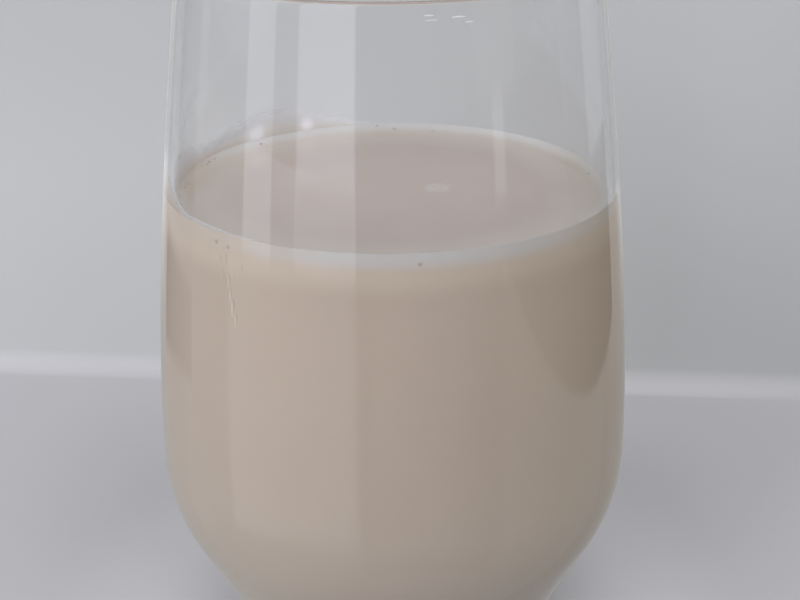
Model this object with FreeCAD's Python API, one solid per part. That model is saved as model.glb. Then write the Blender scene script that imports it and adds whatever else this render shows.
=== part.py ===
"""Glass of almond milk: a stemless drinking glass, filled past its middle.

Both pieces are bodies of revolution about the Z axis and stand on the plane z = 0.
Each side of the glass wraps a chain of circles up to the belly, joined by their common
tangents, and rises from there in one curve to the rounded lip, so it stays smooth
whatever sizes are chosen.  The milk takes the inner side as its own boundary, up to the
height where its meniscus touches the wall.
All lengths are in millimetres, and all outlines lie in the half-plane (r, z).
"""
import FreeCAD, Part
import math
import os
from dataclasses import dataclass

# Outside of the glass
GLASS_HEIGHT = 124.0
RIM_DIAMETER = 71.0
SHOULDER_HEIGHT = 67.0
BELLY_DIAMETER = 86.0
BELLY_HEIGHT = 37.5
BELLY_UNDERSIDE_RADIUS = 32.5
FOOT_EDGE_RADIUS = 14.0
FOOT_DIAMETER = 38.0

# Thickness of the glass
RIM_WALL = 1.5
BELLY_WALL = 1.8
FLOOR_CORNER_RADIUS = 13.0
FLOOR_DISH_RADIUS = 160.0
BASE_THICKNESS = 5.0
FOOT_RING_WIDTH = 3.0
PUNT_DEPTH = 1.2

# Almond milk
FILL_HEIGHT = 85.3
MENISCUS_RISE = 1.7
MENISCUS_WIDTH = 3.0

ORIGIN = FreeCAD.Vector(0, 0, 0)
UP = FreeCAD.Vector(0, 0, 1)
DOWNWARD = -math.pi / 2
OUTWARD = 0.0
UPWARD = math.pi / 2
SHORTEST_EDGE = 1e-3
RATIO_DIGITS = 12


@dataclass(frozen=True)
class Circle:
    """A circle that an outline wraps; with a negative radius the outline passes inside it."""

    r: float
    z: float
    radius: float

    def point(self, angle):
        """Point of the circle where the outline's outward normal has this angle to +r."""
        return (self.r + self.radius * math.cos(angle), self.z + self.radius * math.sin(angle))


@dataclass(frozen=True)
class Line:
    """A straight piece of an outline, from its lower end to its upper one."""

    start: tuple
    end: tuple

    def below(self, z):
        """The part of this line that lies under height z."""
        share = (z - self.start[1]) / (self.end[1] - self.start[1])
        return Line(self.start, between(self.start, self.end, share))

    def edge(self):
        """The line as an edge in the XZ plane."""
        return Part.LineSegment(place(self.start), place(self.end)).toShape()


@dataclass(frozen=True)
class Arc:
    """A round piece of an outline, between two angles of its outward normal."""

    circle: Circle
    first: float
    last: float

    @property
    def start(self):
        """Lower end of the arc."""
        return self.circle.point(self.first)

    @property
    def end(self):
        """Upper end of the arc."""
        return self.circle.point(self.last)

    def below(self, z):
        """The part of this arc that lies under height z."""
        angle = math.asin((z - self.circle.z) / self.circle.radius)
        return Arc(self.circle, self.first, angle)

    def edge(self):
        """The arc as an edge in the XZ plane."""
        middle = self.circle.point((self.first + self.last) / 2)
        return Part.Arc(place(self.start), place(middle), place(self.end)).toShape()


@dataclass(frozen=True)
class Bow:
    """A bowed piece of an outline: it leaves start towards shoulder and arrives from it at end."""

    start: tuple
    shoulder: tuple
    end: tuple

    def below(self, z):
        """The part of this bow that lies under height z, cut off by halving its control lines."""
        rise = self.shoulder[1] - self.start[1]
        gain = self.end[1] - self.shoulder[1] - rise
        height = z - self.start[1]
        share = height / (rise + math.sqrt(rise ** 2 + gain * height))
        shoulder = between(self.start, self.shoulder, share)
        return Bow(self.start, shoulder, between(shoulder, between(self.shoulder, self.end, share), share))

    def edge(self):
        """The bow as an edge in the XZ plane."""
        curve = Part.BezierCurve()
        curve.setPoles([place(self.start), place(self.shoulder), place(self.end)])
        return curve.toShape()


def place(point):
    """Vector in the XZ plane for a point (r, z)."""
    return FreeCAD.Vector(point[0], 0, point[1])


def between(start, end, share):
    """Point that lies the given share of the way from start to end."""
    return (start[0] + share * (end[0] - start[0]), start[1] + share * (end[1] - start[1]))


def tangent_angle(lower, upper):
    """Angle of the outward normal where an outline leaves one circle for the next.

    It is the normal of their common tangent on the outer side.  Circles that touch from
    inside share that normal, so the ratio is rounded to keep it from passing 1 by a hair.
    """
    dr = upper.r - lower.r
    dz = upper.z - lower.z
    ratio = round((lower.radius - upper.radius) / math.hypot(dr, dz), RATIO_DIGITS)
    return math.remainder(math.atan2(dz, dr) - math.acos(ratio), math.tau)


def wrap(circles):
    """Pieces of the outline that wraps the circles from the bottom up, tangent to each.

    It starts level, under the first circle, and ends upright, beside the last one.
    """
    pieces = []
    angle = DOWNWARD
    for lower, upper in zip(circles, circles[1:]):
        turn = tangent_angle(lower, upper)
        pieces.append(Arc(lower, angle, turn))
        line = Line(lower.point(turn), upper.point(turn))
        if math.dist(line.start, line.end) > SHORTEST_EDGE:
            pieces.append(line)
        angle = turn
    pieces.append(Arc(circles[-1], angle, OUTWARD))
    return pieces


def belly_circle(wall):
    """The belly's underside, set in by the wall."""
    centre_r = BELLY_DIAMETER / 2 - BELLY_UNDERSIDE_RADIUS
    return Circle(centre_r, BELLY_HEIGHT, BELLY_UNDERSIDE_RADIUS - wall)


def foot_circle():
    """The rounded edge between the foot and the flank."""
    return Circle(FOOT_DIAMETER / 2, FOOT_EDGE_RADIUS, FOOT_EDGE_RADIUS)


def floor_circle():
    """The shallow dish of the inside floor, level at the axis."""
    return Circle(0, BASE_THICKNESS + FLOOR_DISH_RADIUS, FLOOR_DISH_RADIUS)


def floor_corner_circle():
    """The inside corner: it leaves the wall's thickness to the flank and touches the floor.

    Its centre runs down a line parallel to the flank until it lies as far from the centre
    of the floor's circle as the difference of the two radii.
    """
    foot = foot_circle()
    floor = floor_circle()
    flank = tangent_angle(foot, belly_circle(0))
    inset = BELLY_WALL + FLOOR_CORNER_RADIUS - foot.radius
    start_r = foot.r - inset * math.cos(flank)
    start_z = foot.z - inset * math.sin(flank)
    dr = start_r - floor.r
    dz = start_z - floor.z
    along = dz * math.cos(flank) - dr * math.sin(flank)
    reach = floor.radius - FLOOR_CORNER_RADIUS
    run = -along - math.sqrt(along ** 2 - dr ** 2 - dz ** 2 + reach ** 2)
    centre_r = start_r - run * math.sin(flank)
    centre_z = start_z + run * math.cos(flank)
    return Circle(centre_r, centre_z, FLOOR_CORNER_RADIUS)


def lip_circle(radius):
    """The rounded lip; its radius is negative for the inner side, which passes inside it."""
    return Circle((RIM_DIAMETER - RIM_WALL) / 2, GLASS_HEIGHT - RIM_WALL / 2, radius)


def upper_wall(belly, lip_radius):
    """The wall from the upright at the belly to the lip, leaning in from the shoulder on."""
    lip = lip_circle(lip_radius)
    shoulder = (belly[0], SHOULDER_HEIGHT)
    lean = tangent_angle(Circle(*shoulder, 0), lip)
    return Bow(belly, shoulder, lip.point(lean))


def outer_outline():
    """Outside of the glass, from the foot to where the lip starts."""
    pieces = wrap([foot_circle(), belly_circle(0)])
    pieces.append(upper_wall(pieces[-1].end, RIM_WALL / 2))
    return pieces


def inner_outline():
    """Inside of the glass, from the middle of the dished floor to where the lip starts."""
    pieces = wrap([floor_circle(), floor_corner_circle(), belly_circle(BELLY_WALL)])
    pieces.append(upper_wall(pieces[-1].end, -RIM_WALL / 2))
    return pieces


def arc_edge(start, middle, end):
    """Edge of the arc through three points (r, z)."""
    return Part.Arc(place(start), place(middle), place(end)).toShape()


def lip_edge(outer_end, inner_end):
    """The rounded lip, over the top from the outer side to the inner one."""
    top = lip_circle(RIM_WALL / 2).point(UPWARD)
    return arc_edge(outer_end, top, inner_end)


def dish_edge(level, end):
    """Arc that is level at its first point, on or off the axis, and bends to its other end."""
    width = end[0] - level[0]
    rise = end[1] - level[1]
    radius = (width ** 2 + rise ** 2) / (2 * rise)
    half_angle = math.asin(width / radius) / 2
    middle_r = level[0] + radius * math.sin(half_angle)
    middle_z = level[1] + radius * (1 - math.cos(half_angle))
    return arc_edge(level, (middle_r, middle_z), end)


def revolve(edges):
    """Solid swept by a closed outline in one full turn about the Z axis."""
    face = Part.Face(Part.Wire(Part.__sortEdges__(edges)))
    return face.revolve(ORIGIN, UP, 360)


def make_glass():
    """The glass: thin wall, rounded lip, thick base with a standing ring and a shallow punt."""
    outer = outer_outline()
    inner = inner_outline()
    ring_outer = outer[0].start
    ring_inner = (ring_outer[0] - FOOT_RING_WIDTH, 0.0)
    crown = (0.0, PUNT_DEPTH)
    edges = [piece.edge() for piece in outer + inner]
    edges.append(lip_edge(outer[-1].end, inner[-1].end))
    edges.append(Line(crown, inner[0].start).edge())
    edges.append(dish_edge(crown, ring_inner))
    edges.append(Line(ring_inner, ring_outer).edge())
    return revolve(edges)


def wetted_outline(height):
    """The inner side of the glass from the floor up to the given height."""
    pieces = []
    for piece in inner_outline():
        if piece.end[1] >= height:
            return pieces + [piece.below(height)]
        pieces.append(piece)
    raise ValueError("the milk stands higher than the glass")


def make_milk():
    """The almond milk: it fills the glass from the floor up, and its level climbs the wall."""
    wetted = wetted_outline(FILL_HEIGHT + MENISCUS_RISE)
    contact = wetted[-1].end
    level_end = (contact[0] - MENISCUS_WIDTH, FILL_HEIGHT)
    centre = (0.0, FILL_HEIGHT)
    edges = [piece.edge() for piece in wetted]
    edges.append(dish_edge(level_end, contact))
    edges.append(Line(centre, level_end).edge())
    edges.append(Line(wetted[0].start, centre).edge())
    return revolve(edges)


def main():
    """Build each piece, write it to its STEP file and print its size."""
    os.makedirs("parts", exist_ok=True)
    pieces = {"glass": make_glass(), "almond_milk": make_milk()}
    for node, shape in pieces.items():
        shape.exportStep(f"parts/{node}.step")
        box = shape.optimalBoundingBox()
        size = f"{box.XLength:.2f} x {box.YLength:.2f} x {box.ZLength:.2f} mm"
        print(f"{node}: {size}, {shape.Volume / 1000:.1f} ml, valid {shape.isValid()}")


main()
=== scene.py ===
"""Looks of the glass of almond milk: a stemless tumbler of clear glass, filled past its middle.

All lengths are in metres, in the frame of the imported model, which stands on the plane z = 0
with its axis along Z.  The outlines of turned pieces lie in the half-plane (r, z).
"""

import logging
import math
import random
from dataclasses import dataclass
from enum import Enum

import bmesh
import bpy
from mathutils import Matrix, Vector, noise


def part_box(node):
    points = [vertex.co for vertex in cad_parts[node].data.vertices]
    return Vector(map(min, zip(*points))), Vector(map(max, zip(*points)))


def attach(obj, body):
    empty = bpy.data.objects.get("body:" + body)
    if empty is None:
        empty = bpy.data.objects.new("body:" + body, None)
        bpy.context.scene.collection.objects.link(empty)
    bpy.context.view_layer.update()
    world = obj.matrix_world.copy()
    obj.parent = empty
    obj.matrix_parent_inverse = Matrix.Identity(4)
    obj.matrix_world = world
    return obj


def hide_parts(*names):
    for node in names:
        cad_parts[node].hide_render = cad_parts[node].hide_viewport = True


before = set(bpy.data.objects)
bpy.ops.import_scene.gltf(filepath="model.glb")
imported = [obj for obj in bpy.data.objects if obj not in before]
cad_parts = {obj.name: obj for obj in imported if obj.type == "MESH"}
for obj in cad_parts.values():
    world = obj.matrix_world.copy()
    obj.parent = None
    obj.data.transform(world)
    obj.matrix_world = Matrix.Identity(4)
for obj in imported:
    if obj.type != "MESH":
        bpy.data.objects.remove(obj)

MM = 0.001
HAIR = MM / 100
QUARTER_TURN = math.pi / 2
UP = Vector((0.0, 0.0, 1.0))
HORIZONTAL = (1.0, 1.0, 0.0)
OUTWARD = 0.5
FLECK_SHARE = 0.3
BEAD_ATTRIBUTES = (("facing", "FLOAT_VECTOR"), ("along", "FLOAT_VECTOR"), ("size", "FLOAT"))

Point = tuple[float, float]
Colour = tuple[float, float, float]
Socket = bpy.types.NodeSocket
Node = bpy.types.Node
Tree = bpy.types.NodeTree
Piece = bpy.types.Object

log = logging.getLogger("almond_milk_glass")


class Side(Enum):
    """Side of the glass wall; the value is the sign of the lip's radius on that side."""

    OUTER = 1
    INNER = -1


# ---------------------------------------------------------------------------- outlines


def between(start: Point, end: Point, share: float) -> Point:
    """Return the point that lies the given share of the way from start to end."""
    return (start[0] + share * (end[0] - start[0]), start[1] + share * (end[1] - start[1]))


@dataclass(frozen=True)
class Circle:
    """A circle that an outline wraps; with a negative radius the outline passes inside it."""

    r: float
    z: float
    radius: float

    def point(self, angle: float) -> Point:
        """Return the point where the outline's outward normal has this angle to +r."""
        return (self.r + self.radius * math.cos(angle), self.z + self.radius * math.sin(angle))

    def sweep(self, first: float, last: float, steps: int) -> list[Point]:
        """Return evenly spaced points of the arc between two angles, both ends included."""
        return [self.point(first + (last - first) * i / steps) for i in range(steps + 1)]


def tangent_angle(lower: Circle, upper: Circle) -> float:
    """Find where an outline leaves one circle for the next.

    Args:
        lower: The circle that the outline leaves.
        upper: The circle that it goes on to.

    Returns:
        Angle of the outward normal of their common tangent, in radians.
    """
    dr = upper.r - lower.r
    dz = upper.z - lower.z
    ratio = (lower.radius - upper.radius) / math.hypot(dr, dz)
    return math.remainder(math.atan2(dz, dr) - math.acos(max(-1.0, min(1.0, ratio))), math.tau)


def bow(start: Point, shoulder: Point, end: Point, steps: int) -> list[Point]:
    """Sample the bowed wall that leaves start towards shoulder and arrives from it at end.

    Args:
        start: Lower end of the bow.
        shoulder: Point that both end tangents pass through.
        end: Upper end of the bow.
        steps: Number of straight steps that stand for the curve.

    Returns:
        The steps' end points, from start to end.
    """
    points = []
    for i in range(steps + 1):
        share = i / steps
        points.append(between(between(start, shoulder, share), between(shoulder, end, share), share))
    return points


@dataclass(frozen=True)
class Tumbler:
    """Sizes of the glass, and the outlines that follow from them."""

    height: float
    belly_radius: float
    wall: float
    base: float
    rim_radius: float = 35.5 * MM
    rim_wall: float = 1.5 * MM
    shoulder_height: float = 67.0 * MM
    belly_height: float = 37.5 * MM
    underside_radius: float = 32.5 * MM
    foot_radius: float = 19.0 * MM
    foot_edge: float = 14.0 * MM
    floor_corner: float = 13.0 * MM
    floor_dish: float = 160.0 * MM
    ring_width: float = 3.0 * MM
    punt: float = 1.2 * MM
    steps: int = 28

    @classmethod
    def from_frame(cls) -> "Tumbler":
        """Read height, belly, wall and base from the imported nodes' boxes."""
        glass_low, glass_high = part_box("glass")
        milk_low, milk_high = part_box("almond_milk")
        wall = glass_high.x - milk_high.x
        return cls(glass_high.z - glass_low.z, glass_high.x, wall, milk_low.z - glass_low.z)

    def belly_circle(self, side: Side) -> Circle:
        """Place the circle of the belly's underside.

        Args:
            side: Side of the wall.

        Returns:
            The circle that this side wraps.
        """
        wall = 0.0 if side is Side.OUTER else self.wall
        centre_r = self.belly_radius - self.underside_radius
        return Circle(centre_r, self.belly_height, self.underside_radius - wall)

    def foot_circle(self) -> Circle:
        """Return the rounded edge between the foot and the flank."""
        return Circle(self.foot_radius, self.foot_edge, self.foot_edge)

    def floor_circle(self) -> Circle:
        """Return the shallow dish of the inside floor."""
        return Circle(0.0, self.base + self.floor_dish, self.floor_dish)

    def corner_circle(self) -> Circle:
        """Return the inside corner, which touches the floor and keeps the wall to the flank."""
        foot = self.foot_circle()
        floor = self.floor_circle()
        flank = tangent_angle(foot, self.belly_circle(Side.OUTER))
        inset = self.wall + self.floor_corner - foot.radius
        start_r = foot.r - inset * math.cos(flank)
        start_z = foot.z - inset * math.sin(flank)
        dr = start_r - floor.r
        dz = start_z - floor.z
        along = dz * math.cos(flank) - dr * math.sin(flank)
        reach = floor.radius - self.floor_corner
        run = -along - math.sqrt(along ** 2 - dr ** 2 - dz ** 2 + reach ** 2)
        centre_r = start_r - run * math.sin(flank)
        centre_z = start_z + run * math.cos(flank)
        return Circle(centre_r, centre_z, self.floor_corner)

    def lip_circle(self, side: Side) -> Circle:
        """Return the rounded lip as the wall on one side meets it."""
        centre_r = self.rim_radius - self.rim_wall / 2
        return Circle(centre_r, self.height - self.rim_wall / 2, side.value * self.rim_wall / 2)

    def lean(self, side: Side) -> float:
        """Return the angle of the wall's outward normal where it meets the lip."""
        belly = self.belly_circle(side).point(0.0)
        return tangent_angle(Circle(belly[0], self.shoulder_height, 0.0), self.lip_circle(side))

    def upper_wall(self, side: Side) -> list[Point]:
        """Sample the wall from the upright at the belly to the lip.

        Args:
            side: Side of the wall.

        Returns:
            Points of this side, from the belly up.
        """
        belly = self.belly_circle(side).point(0.0)
        end = self.lip_circle(side).point(self.lean(side))
        return bow(belly, (belly[0], self.shoulder_height), end, 2 * self.steps)

    def wrap(self, circles: list[Circle]) -> list[Point]:
        """Run an outline round circles from level under the first to upright at the last.

        Args:
            circles: The circles, from the bottom up.

        Returns:
            Points of the outline, in which straight runs join neighbouring arcs.
        """
        points = []
        angle = -QUARTER_TURN
        for lower, upper in zip(circles, circles[1:]):
            turn = tangent_angle(lower, upper)
            points += lower.sweep(angle, turn, self.steps)
            angle = turn
        return points + circles[-1].sweep(angle, 0.0, self.steps)

    def side(self, side: Side) -> list[Point]:
        """Sample one whole side of the wall.

        Args:
            side: Side of the wall.

        Returns:
            Points of this side, from the bottom up to the lip.
        """
        if side is Side.OUTER:
            circles = [self.foot_circle()]
        else:
            circles = [self.floor_circle(), self.corner_circle()]
        circles.append(self.belly_circle(side))
        return self.wrap(circles) + self.upper_wall(side)[1:]

    def inner_radius(self, z: float) -> float:
        """Find the inside radius of the upper wall.

        Args:
            z: Height above the table, between the belly and the lip.

        Returns:
            The radius at that height.
        """
        points = self.upper_wall(Side.INNER)
        for lower, upper in zip(points, points[1:]):
            if lower[1] <= z <= upper[1]:
                return between(lower, upper, (z - lower[1]) / (upper[1] - lower[1]))[0]
        raise ValueError(f"height {z} is not on the upper wall")

    def outline(self) -> list[Point]:
        """Return the closed section of the glass, from the punt round to the inside floor."""
        ring_inner = self.foot_radius - self.ring_width
        radius = (ring_inner ** 2 + self.punt ** 2) / (2 * self.punt)
        punt = Circle(0.0, self.punt - radius, radius)
        half = math.asin(ring_inner / radius)
        under = punt.sweep(QUARTER_TURN, QUARTER_TURN - half, self.steps // 2)
        lip = self.lip_circle(Side.OUTER)
        start = self.lean(Side.OUTER)
        over = lip.sweep(start, math.pi + self.lean(Side.INNER), self.steps // 2)
        inner = self.side(Side.INNER)
        return under + self.side(Side.OUTER) + over[1:-1] + inner[::-1]


@dataclass(frozen=True)
class Drink:
    """Sizes of the milk in the glass, and its section."""

    glass: Tumbler
    contact_height: float
    meniscus_rise: float = 1.7 * MM
    meniscus_width: float = 3.0 * MM
    into_wall: float = 0.3 * MM
    edge_into_wall: float = 0.1 * MM
    steps: int = 16

    @classmethod
    def from_frame(cls, glass: Tumbler) -> "Drink":
        """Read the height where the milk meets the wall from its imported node."""
        return cls(glass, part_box("almond_milk")[1].z)

    @property
    def level(self) -> float:
        """Return the height of the flat middle of the surface."""
        return self.contact_height - self.meniscus_rise

    @property
    def contact_radius(self) -> float:
        """Return the inside radius where the milk ends on the wall."""
        return self.glass.inner_radius(self.contact_height)

    def outline(self) -> list[Point]:
        """Return the closed section of the milk, let a little way into the wall."""
        inner = [p for p in self.glass.side(Side.INNER) if p[1] < self.contact_height]
        wetted = []
        for before, here, after in zip([inner[0]] + inner, inner, inner[1:] + [inner[-1]]):
            dr = after[0] - before[0]
            dz = after[1] - before[1]
            length = math.hypot(dr, dz)
            r = 0.0 if here[0] < HAIR else here[0] + self.into_wall * dz / length
            wetted.append((r, here[1] - self.into_wall * dr / length))
        edge = (self.contact_radius + self.edge_into_wall, self.contact_height)
        radius = (self.meniscus_width ** 2 + self.meniscus_rise ** 2) / (2 * self.meniscus_rise)
        centre = Circle(self.contact_radius - self.meniscus_width, self.level + radius, radius)
        rise = math.asin(self.meniscus_width / radius)
        meniscus = centre.sweep(rise - QUARTER_TURN, -QUARTER_TURN, self.steps)
        flat = [(centre.r * share / self.steps, self.level) for share in range(self.steps - 1, -1, -1)]
        return wetted + [edge] + meniscus + flat


# ---------------------------------------------------------------------------- node trees


class TreeMaker:
    """Adds nodes to a node tree and joins them."""

    def __init__(self, tree: Tree) -> None:
        """Keep the tree that the nodes go into."""
        self.tree = tree

    def node(self, kind: str, inputs: dict | None = None, **settings: object) -> Node:
        """Add a node.

        Args:
            kind: Blender's name for the kind of node.
            inputs: Values, or other nodes' outputs, for the inputs that have these names or numbers.
            settings: Values for the node's own properties.

        Returns:
            The new node.
        """
        made = self.tree.nodes.new(kind)
        for name, value in settings.items():
            setattr(made, name, value)
        for name, value in (inputs or {}).items():
            socket = made.inputs[name]
            if isinstance(value, Socket):
                self.tree.links.new(value, socket)
            elif socket.type == "RGBA":
                socket.default_value = (*value, 1.0)
            else:
                socket.default_value = value
        return made

    def maths(self, operation: str, *values: object) -> Socket:
        """Add a Math node and return its output."""
        return self.node("ShaderNodeMath", dict(enumerate(values)), operation=operation).outputs[0]

    def times(self, product: object, *factors: object) -> Socket:
        """Multiply a value by some factors.

        Args:
            product: The value.
            factors: What it is multiplied by, one after another.

        Returns:
            The product.
        """
        for factor in factors:
            product = self.maths("MULTIPLY", product, factor)
        return product

    def vector(self, operation: str, *values: object) -> Node:
        """Add a Vector Math node and return it."""
        return self.node("ShaderNodeVectorMath", dict(enumerate(values)), operation=operation)

    def blend(self, factor: object, low: object, high: object, kind: str = "MIX") -> Socket:
        """Add a colour mix of the given kind and return its output."""
        inputs = {0: factor, 6: low, 7: high}
        return self.node("ShaderNodeMix", inputs, data_type="RGBA", blend_type=kind).outputs[2]

    def span(self, value: Socket, low: object, high: object) -> Socket:
        """Add a smooth step.

        Args:
            value: The value that steps.
            low: Where the step starts, at 0.
            high: Where it ends, at 1; it may be less than low.

        Returns:
            The step's height.
        """
        inputs = {"Value": value, "From Min": low, "From Max": high}
        made = self.node("ShaderNodeMapRange", inputs, interpolation_type="SMOOTHSTEP")
        return made.outputs["Result"]

    def place(self) -> Socket:
        """Return the place on the piece, in the piece's own axes."""
        return self.node("ShaderNodeTexCoord").outputs["Object"]

    def axes(self, place: Socket) -> dict[str, Socket]:
        """Split a place and return its coordinates by axis."""
        split = self.node("ShaderNodeSeparateXYZ", {0: place})
        return {axis: split.outputs[axis] for axis in "XYZ"}

    def noise(self, place: Socket, scale: object, detail: float = 2.0) -> Socket:
        """Add a noise texture and return its value."""
        inputs = {"Vector": place, "Scale": scale, "Detail": detail}
        return self.node("ShaderNodeTexNoise", inputs).outputs[0]

    def reshape(self, kind: str, geometry: Socket, inputs: dict | None = None, **settings: object) -> Socket:
        """Add a node that changes a geometry.

        Args:
            kind: Blender's name for the kind of node, without the part that they all share.
            geometry: The geometry to change.
            inputs: Values or outputs for the node's other inputs.
            settings: Values for the node's own properties.

        Returns:
            The changed geometry.
        """
        return self.node("GeometryNode" + kind, {0: geometry, **(inputs or {})}, **settings).outputs[0]

    def principled(self, colour: object, roughness: object, others: dict) -> Socket:
        """Add a Principled shader with values or outputs for its inputs and return it."""
        inputs = {"Base Color": colour, "Roughness": roughness, **others}
        return self.node("ShaderNodeBsdfPrincipled", inputs).outputs[0]

    def mixed(self, share: Socket, shader: Socket, other: Socket) -> Socket:
        """Mix two shaders, by the share of the second, and return the mix."""
        return self.node("ShaderNodeMixShader", {0: share, 1: shader, 2: other}).outputs[0]


def cleared(holder: bpy.types.ID) -> TreeMaker:
    """Give a material or world a node tree with nothing in it.

    Args:
        holder: The material or world.

    Returns:
        Maker of the tree's nodes.
    """
    holder.use_nodes = True
    holder.node_tree.nodes.clear()
    return TreeMaker(holder.node_tree)


def open_group(name: str, kind: str, inputs: dict[str, tuple], outputs: dict[str, str]) -> tuple:
    """Start a node group with named inputs and outputs.

    Args:
        name: Name of the group.
        kind: Blender's name for the kind of tree.
        inputs: Socket kind and default value of each input, by name.
        outputs: Socket kind of each output, by name.

    Returns:
        The group, its maker and what it is given, by name.
    """
    group = bpy.data.node_groups.new(name, kind)
    for label, (socket, value) in inputs.items():
        made = group.interface.new_socket(label, in_out="INPUT", socket_type=socket)
        if value is not None:
            made.default_value = value
    for label, socket in outputs.items():
        group.interface.new_socket(label, in_out="OUTPUT", socket_type=socket)
    make = TreeMaker(group)
    entry = make.node("NodeGroupInput")
    return group, make, {label: entry.outputs[label] for label in inputs}


def turned_tree() -> Tree:
    """Build the tree that turns an outline once round the Z axis.

    The object's own mesh gives the outline: its points, in order, hold r in X and z in Z.
    Faces above Open Height that don't look outwards, as the surface of a liquid, take the
    open finish.

    Returns:
        A geometry tree with the inputs Turn Steps, Weld, Sharp Angle, Finish, Open Height
        and Open Finish.
    """
    tree, make, given = open_group(
        "turned_body",
        "GeometryNodeTree",
        {
            "Outline": ("NodeSocketGeometry", None),
            "Turn Steps": ("NodeSocketInt", 192),
            "Weld": ("NodeSocketFloat", 2 * HAIR),
            "Sharp Angle": ("NodeSocketFloat", 0.9),
            "Finish": ("NodeSocketMaterial", None),
            "Open Height": ("NodeSocketFloat", 1.0),
            "Open Finish": ("NodeSocketMaterial", None),
        },
        {"Solid": "NodeSocketGeometry"},
    )
    steps = given["Turn Steps"]
    rows = make.node("GeometryNodeAttributeDomainSize", {0: given["Outline"]}).outputs["Point Count"]
    columns = make.maths("ADD", steps, 1.0)
    grid = make.node("GeometryNodeMeshGrid", {"Vertices X": columns, "Vertices Y": rows})
    index = make.node("GeometryNodeInputIndex").outputs[0]
    column = make.maths("FLOOR", make.maths("DIVIDE", make.maths("ADD", index, 0.5), rows))
    row = make.maths("SUBTRACT", index, make.times(column, rows))
    position = make.node("GeometryNodeInputPosition").outputs[0]
    chosen = {0: given["Outline"], "Value": position, "Index": row}
    sample = make.node("GeometryNodeSampleIndex", chosen, data_type="FLOAT_VECTOR")
    outline = make.axes(sample.outputs[0])
    angle = make.times(make.maths("DIVIDE", column, steps), math.tau)
    turned = {
        "X": make.times(outline["X"], make.maths("COSINE", angle)),
        "Y": make.times(outline["X"], make.maths("SINE", angle)),
        "Z": outline["Z"],
    }
    place = make.node("ShaderNodeCombineXYZ", turned).outputs[0]
    solid = make.reshape("SetPosition", grid.outputs["Mesh"], {"Position": place})
    solid = make.reshape("MergeByDistance", solid, {"Distance": given["Weld"]})
    solid = make.reshape("SetShadeSmooth", solid, domain="FACE")
    bend = make.node("GeometryNodeInputMeshEdgeAngle").outputs["Unsigned Angle"]
    crease = make.node("FunctionNodeCompare", {0: bend, 1: given["Sharp Angle"]}, operation="GREATER_THAN")
    creased = {"Selection": crease.outputs[0], "Shade Smooth": False}
    solid = make.reshape("SetShadeSmooth", solid, creased, domain="EDGE")
    solid = make.reshape("RealizeInstances", solid)
    solid = make.reshape("SetMaterial", solid, {"Material": given["Finish"]})
    middle = make.node("GeometryNodeInputPosition").outputs[0]
    radial = make.vector("NORMALIZE", make.vector("MULTIPLY", middle, HORIZONTAL).outputs[0])
    normal = make.node("GeometryNodeInputNormal").outputs[0]
    outward = make.vector("DOT_PRODUCT", radial.outputs[0], normal).outputs["Value"]
    high = make.maths("GREATER_THAN", make.axes(middle)["Z"], given["Open Height"])
    opened = make.times(make.maths("LESS_THAN", outward, OUTWARD), high)
    solid = make.reshape("SetMaterial", solid, {"Selection": opened, "Material": given["Open Finish"]})
    make.node("NodeGroupOutput", {0: solid})
    return tree


def beads_tree() -> Tree:
    """Build the tree that sets a flattened bead on each point of the object's mesh.

    Each point's attribute size gives the bead's longer radius, facing the direction that
    the bead stands out in, and along the direction that it is long in.

    Returns:
        A geometry tree with the inputs Narrowness, Flatness, Unevenness, Seed and Finish.
    """
    tree, make, given = open_group(
        "flattened_beads",
        "GeometryNodeTree",
        {
            "Points": ("NodeSocketGeometry", None),
            "Narrowness": ("NodeSocketFloat", 1.0),
            "Flatness": ("NodeSocketFloat", 0.5),
            "Unevenness": ("NodeSocketFloat", 0.2),
            "Seed": ("NodeSocketInt", 3),
            "Finish": ("NodeSocketMaterial", None),
        },
        {"Beads": "NodeSocketGeometry"},
    )
    bead = make.node("GeometryNodeMeshIcoSphere", {"Radius": 1.0, "Subdivisions": 3}).outputs["Mesh"]
    facing, along, size = (
        make.node("GeometryNodeInputNamedAttribute", {"Name": name}, data_type=kind).outputs[0]
        for name, kind in BEAD_ATTRIBUTES
    )
    stood = make.node("FunctionNodeAlignRotationToVector", {"Vector": facing}, axis="Z").outputs[0]
    aims = {"Rotation": stood, "Vector": along}
    turned = make.node("FunctionNodeAlignRotationToVector", aims, axis="X", pivot_axis="Z").outputs[0]
    number = make.maths("ADD", make.node("GeometryNodeInputIndex").outputs[0], given["Seed"])
    chance = make.node("ShaderNodeTexWhiteNoise", {"W": number}, noise_dimensions="1D").outputs["Value"]
    least = make.maths("SUBTRACT", 1.0, given["Unevenness"])
    drawn = make.node("ShaderNodeMapRange", {"Value": chance, "To Min": least, "To Max": 1.0})
    wide = make.times(size, drawn.outputs["Result"], given["Narrowness"])
    sizes = {"X": size, "Y": wide, "Z": make.times(wide, given["Flatness"])}
    scale = make.node("ShaderNodeCombineXYZ", sizes).outputs[0]
    placed = {"Instance": bead, "Rotation": turned, "Scale": scale}
    beads = make.reshape("InstanceOnPoints", given["Points"], placed)
    beads = make.reshape("RealizeInstances", beads)
    beads = make.reshape("SetShadeSmooth", beads, domain="FACE")
    beads = make.reshape("SetMaterial", beads, {"Material": given["Finish"]})
    make.node("NodeGroupOutput", {0: beads})
    return tree


def show(name: str, data: bpy.types.ID | None) -> Piece:
    """Put a new object into the scene, at the origin.

    Args:
        name: Name of the object.
        data: The mesh, lamp or camera that it holds.

    Returns:
        The object.
    """
    made = bpy.data.objects.new(name, data)
    bpy.context.scene.collection.objects.link(made)
    return made


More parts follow.
